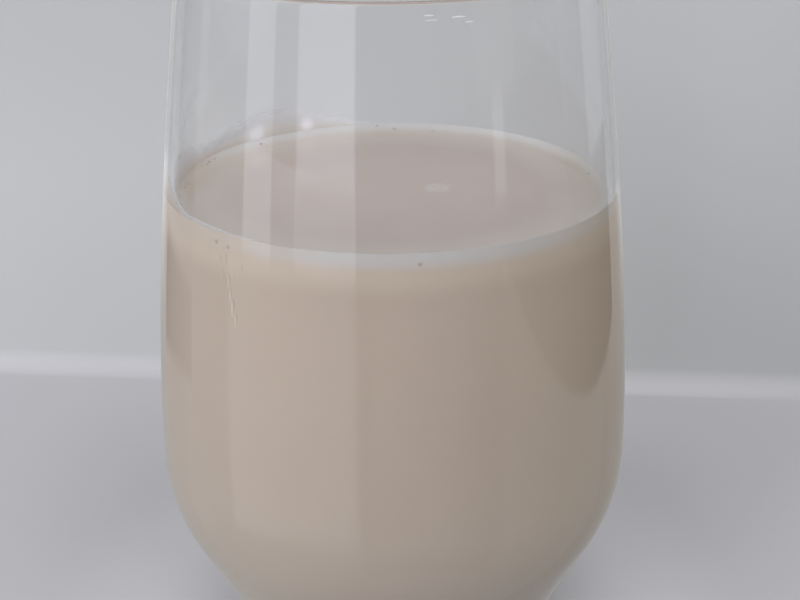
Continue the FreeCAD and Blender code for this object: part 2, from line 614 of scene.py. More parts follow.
def grow(name: str, mesh: bpy.types.Mesh, tree: Tree, values: dict) -> Piece:
    """Run a geometry tree on a mesh and keep the result as a plain mesh.

    Args:
        name: Name of the piece.
        mesh: Mesh that the tree starts from.
        tree: The geometry tree.
        values: Values of the tree's inputs, by name.

    Returns:
        The piece, at the origin, with no modifier left on it.
    """
    seedling = show(name + "_start", mesh)
    modifier = seedling.modifiers.new("grow", "NODES")
    modifier.node_group = tree
    for item in tree.interface.items_tree:
        if item.item_type == "SOCKET" and item.in_out == "INPUT" and item.name in values:
            modifier[item.identifier] = values[item.name]
    depsgraph = bpy.context.evaluated_depsgraph_get()
    grown = bpy.data.meshes.new_from_object(seedling.evaluated_get(depsgraph), depsgraph=depsgraph)
    seedling.modifiers.remove(modifier)
    bpy.data.objects.remove(seedling)
    grown.name = name
    if grown.materials[0] is None:
        grown.materials.pop(index=0)
    return show(name, grown)


def outline_mesh(name: str, outline: list[Point]) -> bpy.types.Mesh:
    """Write an outline as a chain of mesh points in the XZ plane.

    Args:
        name: Name of the mesh.
        outline: Points (r, z), in order.

    Returns:
        The new mesh.
    """
    mesh = bpy.data.meshes.new(name)
    edges = [(i, i + 1) for i in range(len(outline) - 1)]
    mesh.from_pydata([(r, 0.0, z) for r, z in outline], edges, [])
    return mesh


# ---------------------------------------------------------------------------- finishes


def height_band_group() -> Tree:
    """Build the group that marks a band of height on a piece with soft, wandering edges."""
    group, make, given = open_group(
        "height_band",
        "ShaderNodeTree",
        {name: ("NodeSocketFloat", 0.0) for name in ("Low", "High", "Wander", "Grain")},
        {"Mask": "NodeSocketFloat"},
    )
    place = make.place()
    drift = make.maths("SUBTRACT", make.noise(place, given["Grain"]), 0.5)
    moved = make.maths("ADD", make.axes(place)["Z"], make.times(drift, given["Wander"]))
    make.node("NodeGroupOutput", {0: make.span(moved, given["Low"], given["High"])})
    return group


def mottle_group() -> Tree:
    """Build the group that lets a colour vary a little over a surface, in two sizes of patch."""
    group, make, given = open_group(
        "mottle",
        "ShaderNodeTree",
        {
            "Colour": ("NodeSocketColor", (0.5, 0.5, 0.5, 1.0)),
            "Amount": ("NodeSocketFloat", 0.05),
            "Patch Scale": ("NodeSocketFloat", 30.0),
            "Fleck Scale": ("NodeSocketFloat", 400.0),
        },
        {"Colour": "NodeSocketColor"},
    )
    place = make.place()
    patches = make.times(make.noise(place, given["Patch Scale"], 3.0), 1.0 - FLECK_SHARE)
    flecks = make.times(make.noise(place, given["Fleck Scale"], 4.0), FLECK_SHARE)
    centred = make.maths("SUBTRACT", make.maths("ADD", patches, flecks), 0.5)
    gain = make.maths("ADD", make.times(centred, given["Amount"]), 1.0)
    inputs = {0: given["Colour"], "Scale": gain}
    tint = make.node("ShaderNodeVectorMath", inputs, operation="SCALE")
    make.node("NodeGroupOutput", {0: tint.outputs[0]})
    return group


@dataclass(frozen=True)
class Groups:
    """The shader groups that the finishes share."""

    height_band: Tree
    mottle: Tree

    @classmethod
    def build(cls) -> "Groups":
        """Build each group once."""
        return cls(height_band_group(), mottle_group())

    def mottled(self, make: TreeMaker, colour: object, amount: float, scale: float = 30.0) -> Socket:
        """Return a colour with the mottle over it, of this amount and patch scale."""
        inputs = {"Colour": colour, "Amount": amount, "Patch Scale": scale}
        return make.node("ShaderNodeGroup", inputs, node_tree=self.mottle).outputs["Colour"]


def fresh_material(name: str) -> tuple[bpy.types.Material, TreeMaker]:
    """Start a material and return it with a maker for its nodes."""
    material = bpy.data.materials.new(name)
    return material, cleared(material)


@dataclass(frozen=True)
class Fade:
    """A smooth change from 0 to 1 along one axis of the piece."""

    axis: str
    start: float
    end: float

    def mask(self, make: TreeMaker, axes: dict[str, Socket]) -> Socket:
        """Return how far the change has gone at the place with these coordinates."""
        return make.span(axes[self.axis], self.start, self.end)


@dataclass(frozen=True)
class Shade(Fade):
    """A smooth change of tone along one axis of the piece, up to a gain."""

    gain: Colour

    def over(self, make: TreeMaker, axes: dict[str, Socket], colour: object) -> Socket:
        """Return a colour with the change laid over it."""
        return make.blend(self.mask(make, axes), colour, self.gain, "MULTIPLY")


@dataclass(frozen=True)
class Band:
    """A change to another colour over a span of height, counted from the milk's level."""

    colour: Colour
    low: float
    high: float
    wander: float = 0.8 * MM
    grain: float = 90.0

    def mask(self, make: TreeMaker, groups: Groups, level: float) -> Socket:
        """Mark how far the change has gone.

        Args:
            make: Maker of the material's nodes.
            groups: The shader groups.
            level: Height of the milk's flat surface.

        Returns:
            A value from 0 to 1.
        """
        low, high = level + self.low, level + self.high
        inputs = {"Low": low, "High": high, "Wander": self.wander, "Grain": self.grain}
        return make.node("ShaderNodeGroup", inputs, node_tree=groups.height_band).outputs["Mask"]


@dataclass(frozen=True)
class ClearGlass:
    """Polished colourless glass with faint waves and finger-dulled patches."""

    tint: Colour = (0.997, 0.999, 1.0)
    shadow_tint: Colour = (0.96, 0.965, 0.965)
    ior: float = 1.5
    wave_scale: float = 26.0
    wave_detail: float = 1.0
    wave_fineness: float = 0.3
    wave_depth: float = 0.04 * MM
    wave_stretch: Colour = (1.0, 1.0, 0.25)
    smear_scale: float = 60.0
    smear_detail: float = 5.0
    smeared: Point = (0.55, 0.8)
    dull: float = 0.03

    def material(self) -> bpy.types.Material:
        """Make the material, which lets light from lamps through to what the glass holds."""
        material, make = fresh_material("polished_glass")
        place = make.place()
        stretch = make.node("ShaderNodeMapping", {"Vector": place, "Scale": self.wave_stretch})
        waves = {"Vector": stretch.outputs[0], "Scale": self.wave_scale}
        waves.update({"Detail": self.wave_detail, "Roughness": self.wave_fineness})
        height = make.node("ShaderNodeTexNoise", waves).outputs[0]
        bump = {"Strength": 1.0, "Distance": self.wave_depth, "Height": height}
        normal = make.node("ShaderNodeBump", bump).outputs[0]
        smears = make.noise(place, self.smear_scale, self.smear_detail)
        dulled = make.times(make.span(smears, *self.smeared), self.dull)
        others = {"Metallic": 0.0, "IOR": self.ior, "Transmission Weight": 1.0, "Normal": normal}
        shader = make.principled(self.tint, dulled, others)
        clear = make.node("ShaderNodeBsdfTransparent", {"Color": self.shadow_tint}).outputs[0]
        shadow = make.node("ShaderNodeLightPath").outputs["Is Shadow Ray"]
        make.node("ShaderNodeOutputMaterial", {0: make.mixed(shadow, shader, clear)})
        return material


class Face(Enum):
    """Face of the milk: against the glass, where it doesn't gleam, or open to the air."""

    WETTED = "wetted"
    OPEN = "open"


@dataclass(frozen=True)
class AlmondMilk:
    """Opaque beige almond milk, warmer near its edge, pale where it thins up the wall, with painted shade
    and light.
    """

    groups: Groups
    level: float
    deep: Colour = (0.480, 0.420, 0.368)
    bands: tuple[Band, ...] = (
        Band((0.505, 0.424, 0.362), -80 * MM, -10 * MM),
        Band((0.572, 0.488, 0.415), -6.0 * MM, -1.7 * MM),
    )
    pale: Band = Band((0.572, 0.548, 0.543), -1.6 * MM, 0.7 * MM)
    pale_lost: tuple[tuple[Fade, float], ...] = (
        (Fade("X", 18 * MM, 38 * MM), 0.5),
        (Fade("X", -6 * MM, -32 * MM), 0.9),
    )
    # Painted shade and light on the side: yellower and a little darker towards the right, a little lighter
    # and bluer towards the left.
    side_painted_shade_and_light: tuple[Shade, ...] = (
        Shade("X", 5 * MM, 36 * MM, (0.985, 0.980, 0.930)),
        Shade("X", -18 * MM, -38 * MM, (1.010, 1.020, 1.030)),
    )
    open_middle: Colour = (0.394, 0.324, 0.292)
    open_edge: Colour = (0.470, 0.414, 0.368)
    edge_ring: Point = (25 * MM, 38 * MM)
    climb: Band = Band((0.515, 0.500, 0.497), -0.1 * MM, 1.2 * MM, 0.5 * MM, 120.0)
    # Painted shade: the pale climb is left off the far left edge, which lies in shade.
    climb_unshaded: Fade = Fade("X", -38 * MM, -31 * MM)
    # Painted shade and light on the open face: darker and browner at the right edge, lighter left of the
    # middle, browner at the left edge, lighter on the near side.
    open_painted_shade_and_light: tuple[Shade, ...] = (
        Shade("X", 27 * MM, 38 * MM, (0.84, 0.82, 0.77)),
        Shade("X", -20 * MM, -31 * MM, (1.04, 1.04, 1.03)),
        Shade("X", -31 * MM, -38 * MM, (0.97, 0.90, 0.82)),
        Shade("Y", -10 * MM, -30 * MM, (1.05, 1.05, 1.06)),
    )
    # A pale spot near the middle of the open face: a thin raft of froth with a painted soft reflection on
    # it.
    raft: Point = (8.3 * MM, 0.1 * MM)
    raft_radius: float = 3.6 * MM
    raft_edge: Point = (1.5, 0.8)
    raft_grain: float = 700.0
    raft_cover: float = 0.3
    mottle: float = 0.06
    side_roughness: float = 0.6
    side_ior: float = 1.05
    top_roughness: float = 0.06
    top_ior: float = 1.35

    def side_colour(self, make: TreeMaker) -> Socket:
        """Colour the milk against the glass.

        Args:
            make: Maker of the material's nodes.

        Returns:
            The colour: from the bottom up deep, then the body, then warm, then pale, with painted
            shade and light over it: yellower and a little darker on the right, a little lighter on the left.
        """
        axes = make.axes(make.place())
        lost = [make.times(fade.mask(make, axes), share) for fade, share in self.pale_lost]
        left = make.maths("SUBTRACT", 1.0, make.maths("ADD", *lost))
        colour: object = self.deep
        for band in self.bands:
            colour = make.blend(band.mask(make, self.groups, self.level), colour, band.colour)
        thin = make.times(self.pale.mask(make, self.groups, self.level), left)
        colour = make.blend(thin, colour, self.pale.colour)
        for shade in self.side_painted_shade_and_light:
            colour = shade.over(make, axes, colour)
        return colour

    def top_colour(self, make: TreeMaker) -> Socket:
        """Colour the open surface of the milk.

        Args:
            make: Maker of the material's nodes.

        Returns:
            The colour: lighter towards the wall and pale where the milk climbs it, but for the far left
            edge, which is kept in painted shade, with painted shade and light over it and a pale spot.
        """
        place = make.place()
        axes = make.axes(place)
        reach = make.vector("LENGTH", make.vector("MULTIPLY", place, HORIZONTAL).outputs[0])
        ring = make.span(reach.outputs["Value"], *self.edge_ring)
        colour = make.blend(ring, self.open_middle, self.open_edge)
        # Painted shade: the pale climb stays off the far left edge.
        unshaded = self.climb_unshaded.mask(make, axes)
        climbing = make.times(self.climb.mask(make, self.groups, self.level), unshaded)
        colour = make.blend(climbing, colour, self.climb.colour)
        for shade in self.open_painted_shade_and_light:
            colour = shade.over(make, axes, colour)
        # Painted reflection and froth: lay the soft pale spot near the middle.
        away = make.vector("DISTANCE", place, (*self.raft, self.level)).outputs["Value"]
        froth = make.times(make.noise(place, self.raft_grain), self.raft_radius)
        edge = (share * self.raft_radius for share in self.raft_edge)
        raft = make.span(make.maths("ADD", away, froth), *edge)
        return make.blend(make.times(raft, self.raft_cover), colour, self.climb.colour)

    def material(self, face: Face) -> bpy.types.Material:
        """Make the material of one face of the milk.

        Args:
            face: The face that takes it.

        Returns:
            The new material.
        """
        material, make = fresh_material("almond_milk_" + face.value)
        if face is Face.OPEN:
            colour, roughness, ior = self.top_colour(make), self.top_roughness, self.top_ior
        else:
            colour, roughness, ior = self.side_colour(make), self.side_roughness, self.side_ior
        varied = self.groups.mottled(make, colour, self.mottle)
        make.node("ShaderNodeOutputMaterial", {0: make.principled(varied, roughness, {"IOR": ior})})
        return material


@dataclass(frozen=True)
class FilmMilk:
    """Wet milk too thin to hide the glass behind it, streaked where it ran down.

    Its painted highlights, the white places where the wet film would mirror the light, are given by
    azimuth, height and radius, in degrees and millimetres.  Solid is how much the thickest film hides.
    """

    groups: Groups
    wall_radius: float
    low: Colour = (0.620, 0.570, 0.525)
    high: Colour = (0.690, 0.680, 0.700)
    high_from: float = 0.55
    # Painted highlights: white patches where the wet film would mirror the light.
    gleam: Colour = (0.860, 0.840, 0.880)
    painted_highlights: tuple[tuple[float, float, float], ...] = ((134.5, 88.1, 2.8), (116.5, 88.1, 2.0))
    painted_highlight_core: float = 0.3
    run_scale: float = 220.0
    run_stretch: Colour = (1.0, 1.0, 0.2)
    run_depth: float = 0.25
    clear_to_solid: Point = (1.0, 0.25)
    solid: float = 0.95
    lit_through: float = 0.8
    # Painted shade: the film is browner and darker at the far left, and darker on its near side.
    left: Shade = Shade("X", -29 * MM, -37 * MM, (0.92, 0.85, 0.80))
    near: Shade = Shade("Y", -2 * MM, -18 * MM, (0.72, 0.70, 0.68))
    mottle: float = 0.08
    roughness: float = 0.3
    ior: float = 1.35

    def cover(self, make: TreeMaker, place: Socket, thin: Socket) -> Socket:
        """Return how much the film hides, less to light on its way from a lamp.

        Args:
            make: Maker of the material's nodes.
            place: The place on the film.
            thin: How thin the film is there, from 0 to 1.

        Returns:
            The film's alpha.
        """
        stretch = make.node("ShaderNodeMapping", {"Vector": place, "Scale": self.run_stretch})
        runs = make.maths("SUBTRACT", make.noise(stretch.outputs[0], self.run_scale), 0.5)
        uneven = make.maths("ADD", thin, make.times(runs, self.run_depth))
        shadow = make.node("ShaderNodeLightPath").outputs["Is Shadow Ray"]
        kept = make.maths("SUBTRACT", 1.0, make.times(shadow, self.lit_through))
        return make.times(make.span(uneven, *self.clear_to_solid), self.solid, kept)

    def colour(self, make: TreeMaker, place: Socket, thin: Socket) -> Socket:
        """Return the film's colour.

        Args:
            make: Maker of the material's nodes.
            place: The place on the film.
            thin: How thin the film is there, from 0 to 1.

        Returns:
            Milky where it is thick, paler where it is thin, in painted shade at the far left and on
            the near side, and painted white on its highlights.
        """
        axes = make.axes(place)
        # Painted shade: browner and darker at the far left.
        colour = self.left.over(make, axes, self.low)
        colour = make.blend(make.span(thin, 0.0, self.high_from), colour, self.high)
        # Painted highlights: lay white where the wet film would mirror the light.
        for azimuth, height, radius in self.painted_highlights:
            angle = math.radians(azimuth)
            across = (self.wall_radius * math.cos(angle), self.wall_radius * math.sin(angle))
            away = make.vector("DISTANCE", place, (*across, height * MM)).outputs["Value"]
            mask = make.span(away, radius * MM, self.painted_highlight_core * radius * MM)
            colour = make.blend(mask, colour, self.gleam)
        # Painted shade: darker on the near side.
        colour = self.near.over(make, axes, colour)
        return self.groups.mottled(make, colour, self.mottle)

    def material(self) -> bpy.types.Material:
        """Make the material, which reads how thin the film is from its attribute."""
        material, make = fresh_material("milk_film")
        place = make.place()
        thin = make.node("ShaderNodeAttribute", attribute_name="thinness").outputs["Fac"]
        others = {"IOR": self.ior, "Alpha": self.cover(make, place, thin)}
        shader = make.principled(self.colour(make, place, thin), self.roughness, others)
        make.node("ShaderNodeOutputMaterial", {0: shader})
        return material


@dataclass(frozen=True)
class Froth:
    """Wet skin of small bubbles and drops of milk."""

    groups: Groups
    name: str
    colour: Colour
    mottle: float = 0.3
    patch_scale: float = 900.0
    roughness: float = 0.05
    ior: float = 1.35

    def material(self) -> bpy.types.Material:
        """Make the material."""
        material, make = fresh_material(self.name)
        varied = self.groups.mottled(make, self.colour, self.mottle, self.patch_scale)
        shader = make.principled(varied, self.roughness, {"IOR": self.ior})
        make.node("ShaderNodeOutputMaterial", {0: shader})
        return material


@dataclass(frozen=True)
class Paper:
    """Matte pale card of the table and the backdrop.

    It may be paler round the axis, by a gain between two radii: painted light round the glass's
    foot that lifts the shade the glass casts there.  It may be seen from its front alone.
    """

    name: str
    colour: Colour
    shades: tuple[Shade, ...] = ()
    one_sided: bool = False
    painted_glow: float = 0.0
    painted_glow_radii: Point = (74 * MM, 38 * MM)
    cloud_scale: float = 6.0
    cloud_tone: float = 0.985
    roughness: float = 0.9

    def material(self) -> bpy.types.Material:
        """Make the material."""
        material, make = fresh_material(self.name)
        place = make.place()
        low = tuple(self.cloud_tone * part for part in self.colour)
        colour = make.blend(make.noise(place, self.cloud_scale), low, self.colour)
        axes = make.axes(place)
        for shade in self.shades:
            colour = shade.over(make, axes, colour)
        # Painted light: lighten the card round the glass's foot, where the glass's shade falls.
        if self.painted_glow:
            ring = make.span(make.vector("LENGTH", place).outputs["Value"], *self.painted_glow_radii)
            colour = make.blend(ring, colour, (1.0 + self.painted_glow,) * 3, "MULTIPLY")
        surface = make.principled(colour, self.roughness, {})
        if self.one_sided:
            back = make.node("ShaderNodeNewGeometry").outputs["Backfacing"]
            surface = make.mixed(back, surface, make.node("ShaderNodeBsdfTransparent").outputs[0])
        make.node("ShaderNodeOutputMaterial", {0: surface})
        return material


# ---------------------------------------------------------------------------- pieces


@dataclass
class DrinkingGlass:
    """The glass itself."""

    sizes: Tumbler
    finish: ClearGlass

    def build(self, turned: Tree) -> Piece:
        """Args:
            turned: The tree that turns an outline.

        Returns:
            The finished piece.
        """
        mesh = outline_mesh("glass_outline", self.sizes.outline())
        piece = grow("drinking_glass", mesh, turned, {"Finish": self.finish.material()})
        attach(piece, "root")
        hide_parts("glass")
        return piece


@dataclass
class MilkFill:
    """The almond milk in the glass."""

    sizes: Drink
    finish: AlmondMilk

    def build(self, turned: Tree) -> Piece:
        """Args:
            turned: The tree that turns an outline.

        Returns:
            The finished piece.
        """
        mesh = outline_mesh("milk_outline", self.sizes.outline())
        values = {
            "Finish": self.finish.material(Face.WETTED),
            "Open Height": self.sizes.level - HAIR,
            "Open Finish": self.finish.material(Face.OPEN),
        }
        piece = grow("almond_milk_fill", mesh, turned, values)
        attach(piece, "root")
        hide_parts("almond_milk")
        return piece


@dataclass
class MilkFilm:
    """Thin film that the milk left on the wall above its level when the glass was tilted.

    The crest gives azimuths round the axis, in degrees from +X, and how far above the
    milk's edge the film ends there, in millimetres.  It starts a little under that edge,
    and thins out towards its crest and over the last columns at its two ends.
    """

    drink: Drink
    finish: FilmMilk
    crest: tuple[Point, ...] = (
        (92, 0.0), (100, 0.8), (106, 2.2), (113, 4.0), (118, 5.4), (122, 6.4), (126, 6.9), (130, 6.9),
        (134, 6.3), (137, 5.9), (141, 5.2), (144, 4.8), (147, 4.4), (151, 3.6), (155, 3.3), (158, 3.5),
        (163, 4.3), (170, 5.8), (177, 7.4), (186, 8.0), (196, 7.4), (201, 5.6), (206, 2.4), (211, 0.9),
        (222, 0.8), (233, 0.4), (243, 0.2), (250, 0.0),
    )
    under: float = 0.45 * MM
    thickness: float = 0.14 * MM
    thinned: float = 0.9
    into_wall: float = 0.04 * MM
    ripple: float = 0.2 * MM
    ripple_rate: float = 0.35
    ripple_row: float = 3.1
    lowest_seen: float = 0.3 * MM
    step: float = 0.75
    end_columns: int = 10
    rows: int = 14

    def height(self, azimuth: float) -> float:
        """Find how high the film reaches.

        Args:
            azimuth: Azimuth from +X, in degrees.

        Returns:
            Height of the film's crest above the milk's edge.
        """
        rise = 0.0
        for (first, low), (last, high) in zip(self.crest, self.crest[1:]):
            if first <= azimuth <= last:
                share = (azimuth - first) / (last - first)
                rise = low + (high - low) * share * share * (3 - 2 * share)
        wobble = noise.noise(Vector((azimuth * self.ripple_rate, self.ripple_row, 0.0))) * self.ripple
        return rise * MM + wobble * min(1.0, rise)

    def sheet(self, built: bmesh.types.BMesh, outer: bool) -> list[list[bmesh.types.BMVert]]:
        """Lay the points of one side of the film.

        Args:
            built: Mesh that takes the points.
            outer: Whether it is the side in the wall.

        Returns:
            The points in columns round the wall, each from the bottom up.
        """
        thinness = built.verts.layers.float["thinness"]
        first, last = self.crest[0][0], self.crest[-1][0]
        final = int((last - first) / self.step)
        sheet = []
        for i in range(final + 1):
            top = self.height(first + i * self.step)
            angle = math.radians(first + i * self.step)
            ended = 1.0 - min(i, final - i) / self.end_columns
            column = []
            for j in range(self.rows + 1):
                share = j / self.rows
                z = self.drink.contact_height - self.under + (self.under + top) * share
                inside = self.thickness * (1.0 - self.thinned * share)
                r = self.drink.glass.inner_radius(z) + (self.into_wall if outer else -inside)
                point = built.verts.new((r * math.cos(angle), r * math.sin(angle), z))
                point[thinness] = max(share if top > self.lowest_seen else 1.0, ended)
                column.append(point)
            sheet.append(column)
        return sheet

    def build(self) -> Piece:
        """Returns:
            The finished piece.
        """
        built = bmesh.new()
        built.verts.layers.float.new("thinness")
        outside, inside = self.sheet(built, True), self.sheet(built, False)
        for sheet, turn in ((outside, 1), (inside, -1)):
            for left, right in zip(sheet, sheet[1:]):
                for corners in zip(left, right, right[1:], left[1:]):
                    built.faces.new(corners[::turn])
        pairs = [list(zip(outer, inner)) for outer, inner in zip(outside, inside)]
        low, high = [column[0] for column in pairs], [column[-1] for column in pairs]
        for rim, turn in ((low, -1), (high, 1), (pairs[0], 1), (pairs[-1], -1)):
            for here, after in zip(rim, rim[1:]):
                built.faces.new((here[0], after[0], after[1], here[1])[::turn])
        for face in built.faces:
            face.smooth = True
        bmesh.ops.recalc_face_normals(built, faces=built.faces)
        mesh = bpy.data.meshes.new("milk_film")
        built.to_mesh(mesh)
        built.free()
        mesh.materials.append(self.finish.material())
        piece = show("milk_film", mesh)
        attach(piece, "root")
        return piece


@dataclass(frozen=True)
class Bead:
    """One bead: its place, the ways it stands out and is long in, and its longer radius."""

    place: Vector
    facing: Vector
    along: Vector
    size: float


@dataclass(frozen=True)
class WallSpot:
    """A spot on the inner wall: azimuth from +X in degrees, height and bead radius in millimetres."""

    azimuth: float
    height: float
    size: float

    def bead(self, glass: Tumbler, offset: float = 0.0, upright: bool = False) -> Bead:
        """Place a bead on this spot.

        Args:
            glass: Sizes of the glass.
            offset: Distance of the bead's middle outside the inner wall.
            upright: Whether the bead is long in height rather than round the wall.

        Returns:
            The bead, which stands out towards the axis.
        """
        angle = math.radians(self.azimuth)
        out = Vector((math.cos(angle), math.sin(angle), 0.0))
        place = out * (glass.inner_radius(self.height * MM) + offset)
        place.z = self.height * MM
        return Bead(place, -out, UP if upright else Vector((-out.y, out.x, 0.0)), self.size * MM)


@dataclass
class Beads:
    """Small flattened beads of one kind; each kind says where its beads lie."""

    drink: Drink
    finish: Froth
    name: str
    narrowness: float = 1.0
    flatness: float = 0.5

    def beads(self) -> list[Bead]:
        """Return the beads of this kind."""
        raise NotImplementedError

    def build(self, tree: Tree) -> Piece:
        """Args:
            tree: The tree that sets a bead on each point.

        Returns:
            The finished piece.
        """
        beads = self.beads()
        mesh = bpy.data.meshes.new(self.name + "_points")
        mesh.from_pydata([bead.place for bead in beads], [], [])
        for name, kind in BEAD_ATTRIBUTES:
            mesh.attributes.new(name, kind, "POINT")
        for i, bead in enumerate(beads):
            mesh.attributes["facing"].data[i].vector = bead.facing
            mesh.attributes["along"].data[i].vector = bead.along
            mesh.attributes["size"].data[i].value = bead.size
        values = {"Narrowness": self.narrowness, "Flatness": self.flatness}
        piece = grow(self.name, mesh, tree, {**values, "Finish": self.finish.material()})
        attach(piece, "root")
        return piece


@dataclass
class EdgeBubbles(Beads):
    """Bubbles against the glass at the milk's edge: a few larger ones, and a scatter of tiny ones.

    The scatter's azimuths are in degrees from +X, its sizes and insets in millimetres.
    """

    name: str = "edge_bubbles"
    larger: tuple[WallSpot, ...] = (
        WallSpot(-84, 85.4, 0.34), WallSpot(-135, 85.4, 0.42), WallSpot(-131, 85.1, 0.34),
    )
    tiny: int = 34
    seed: int = 11
    azimuths: Point = (165, 62)
    sizes: Point = (0.14, 0.34)
    insets: Point = (0.3, 1.6)

    def beads(self) -> list[Bead]:
        """Return the larger bubbles, then the scatter, which climbs the meniscus."""
        drink = self.drink
        beads = [spot.bead(drink.glass, drink.into_wall) for spot in self.larger]
        draw = random.Random(self.seed)
        for _ in range(self.tiny):
            angle = math.radians(draw.gauss(*self.azimuths))
            size = draw.uniform(*self.sizes) * MM
            inset = draw.uniform(*self.insets) * MM
            climb = drink.meniscus_rise * max(0.0, 1 - inset / drink.meniscus_width) ** 2
            out = Vector((math.cos(angle), math.sin(angle), 0.0))
            place = out * (drink.contact_radius - inset)
            place.z = drink.level + climb
            beads.append(Bead(place, UP, out, size))
        return beads


@dataclass
class SurfaceFroth(Beads):
    """Small raft of froth that floats near the middle; its spread and sizes are in millimetres."""

    name: str = "surface_froth"
    flatness: float = 0.12
    bubbles: int = 5
    seed: int = 5
    aside: Point = (8.3, 0.9)
    back: Point = (0.1, 0.8)
    sizes: Point = (0.2, 0.4)

    def beads(self) -> list[Bead]:
        """Return the bubbles of the raft."""
        draw = random.Random(self.seed)
        beads = []
        for _ in range(self.bubbles):
            x, y = draw.gauss(*self.aside) * MM, draw.gauss(*self.back) * MM
            size = draw.uniform(*self.sizes) * MM
            beads.append(Bead(Vector((x, y, self.drink.level)), UP, Vector((1.0, 0.0, 0.0)), size))
        return beads


@dataclass
class WallBeads(Beads):
    """Beads on chosen spots of the inner wall."""

    spots: tuple[WallSpot, ...] = ()
    offset: float = 0.0
    upright: bool = False

    def beads(self) -> list[Bead]:
        """Return the beads on their spots."""
        return [spot.bead(self.drink.glass, self.offset, self.upright) for spot in self.spots]


@dataclass
class DropsWithPaintedGlints(WallBeads):
    """Drops under the rim and on the film, long round the wall, near white as painted glints."""

    name: str = "drops_with_painted_glints"
    narrowness: float = 0.15
    flatness: float = 0.8
    spots: tuple[WallSpot, ...] = (
        WallSpot(-80.6, 121.8, 0.75), WallSpot(-80.1, 121.1, 0.85), WallSpot(-73.3, 121.4, 1.1),
        WallSpot(-70.6, 120.6, 0.7),
        WallSpot(137.0, 89.0, 0.5), WallSpot(135.4, 88.6, 0.7), WallSpot(133.6, 88.2, 0.8),
        WallSpot(131.8, 87.9, 0.7), WallSpot(130.2, 87.6, 0.5), WallSpot(118.4, 87.7, 0.45),
        WallSpot(117.2, 87.4, 0.55), WallSpot(115.4, 87.2, 0.5), WallSpot(56.5, 86.8, 0.45),
    )


@dataclass
class PaleStreaks(WallBeads):
    """Pale upright streaks between the milk and the wall, on the near left of the glass."""

    name: str = "pale_streaks"
    narrowness: float = 0.22
    flatness: float = 0.6
    spots: tuple[WallSpot, ...] = (
        WallSpot(-130.6, 79.6, 1.3), WallSpot(-129.9, 77.3, 1.5), WallSpot(-129.2, 75.2, 1.6),
        WallSpot(-128.2, 73.4, 1.3), WallSpot(-132.6, 80.6, 0.9), WallSpot(-133.4, 82.6, 0.9),
        WallSpot(-131.5, 82.9, 1.0), WallSpot(-127.6, 80.4, 0.8), WallSpot(-126.5, 82.2, 0.7),
    )
    offset: float = 0.3 * MM
    upright: bool = True


# ---------------------------------------------------------------------------- studio


@dataclass(frozen=True)
class Backdrop:
    """Pale table and the wall that stands behind the glass, with a wider floor just below them."""

    wall_distance: float = 101.5 * MM
    wall_turn: float = math.radians(-5.6)
    half_width: float = 0.6
    wall_height: float = 0.7
    cove: float = 5.5 * MM
    cove_steps: int = 8
    drop: float = 0.05 * MM
    floor_drop: float = 0.2 * MM
    floor_reach: float = 3.0
    colour: Colour = (0.424, 0.419, 0.439)
    # Gain of the painted light round the glass's foot on the table.
    painted_glow: float = 0.26
    # The first shade is the wall's own paler tone from the cove up; the others are painted shade and light:
    # darker high up, lighter right of the glass and a little darker at the far right.
    wall_tone_and_painted_light: tuple[Shade, ...] = (
        Shade("Z", 1 * MM, 6 * MM, (1.050, 1.075, 1.045)),
        Shade("Z", 40 * MM, 120 * MM, (0.88, 0.88, 0.88)),
        Shade("X", -45 * MM, 55 * MM, (1.09, 1.09, 1.09)),
        Shade("X", 65 * MM, 100 * MM, (0.94, 0.94, 0.94)),
    )

    def sheet(self) -> Piece:
        """Make the table top, which runs up into the wall through a small cove."""
        profile = [(-self.floor_reach, 0.0)]
        cove = Circle(self.wall_distance - self.cove, self.cove, self.cove)
        profile.extend(cove.sweep(-QUARTER_TURN, 0.0, self.cove_steps))
        profile.append((self.wall_distance, self.wall_height))
        points = [(x, y, z - self.drop) for y, z in profile for x in (-self.half_width, self.half_width)]
        faces = [(2 * i, 2 * i + 1, 2 * i + 3, 2 * i + 2) for i in range(len(profile) - 1)]
        mesh = bpy.data.meshes.new("sheet")
        mesh.from_pydata(points, [], faces)
        mesh.materials.append(Paper("table_card", self.colour, painted_glow=self.painted_glow).material())
        mesh.materials.append(Paper("wall_card", self.colour, self.wall_tone_and_painted_light, True).material())
        for face in mesh.polygons[1:]:
            face.material_index = 1
            face.use_smooth = True
        sheet = show("sheet", mesh)
        sheet.matrix_world = Matrix.Rotation(self.wall_turn, 4, "Z")
        return sheet

    def floor(self) -> Piece:
        """Make the floor around the table top."""
        reach = self.floor_reach
        corners = [(-reach, -reach), (reach, -reach), (reach, reach), (-reach, reach)]
        mesh = bpy.data.meshes.new("floor")
        mesh.from_pydata([(x, y, -self.floor_drop) for x, y in corners], [], [(0, 1, 2, 3)])
        mesh.materials.append(Paper("floor_card", self.colour).material())
        return show("floor", mesh)

    def build(self) -> None:
        sheet, floor = self.sheet(), self.floor()
        sheet.visible_glossy = False
        floor.visible_glossy = False


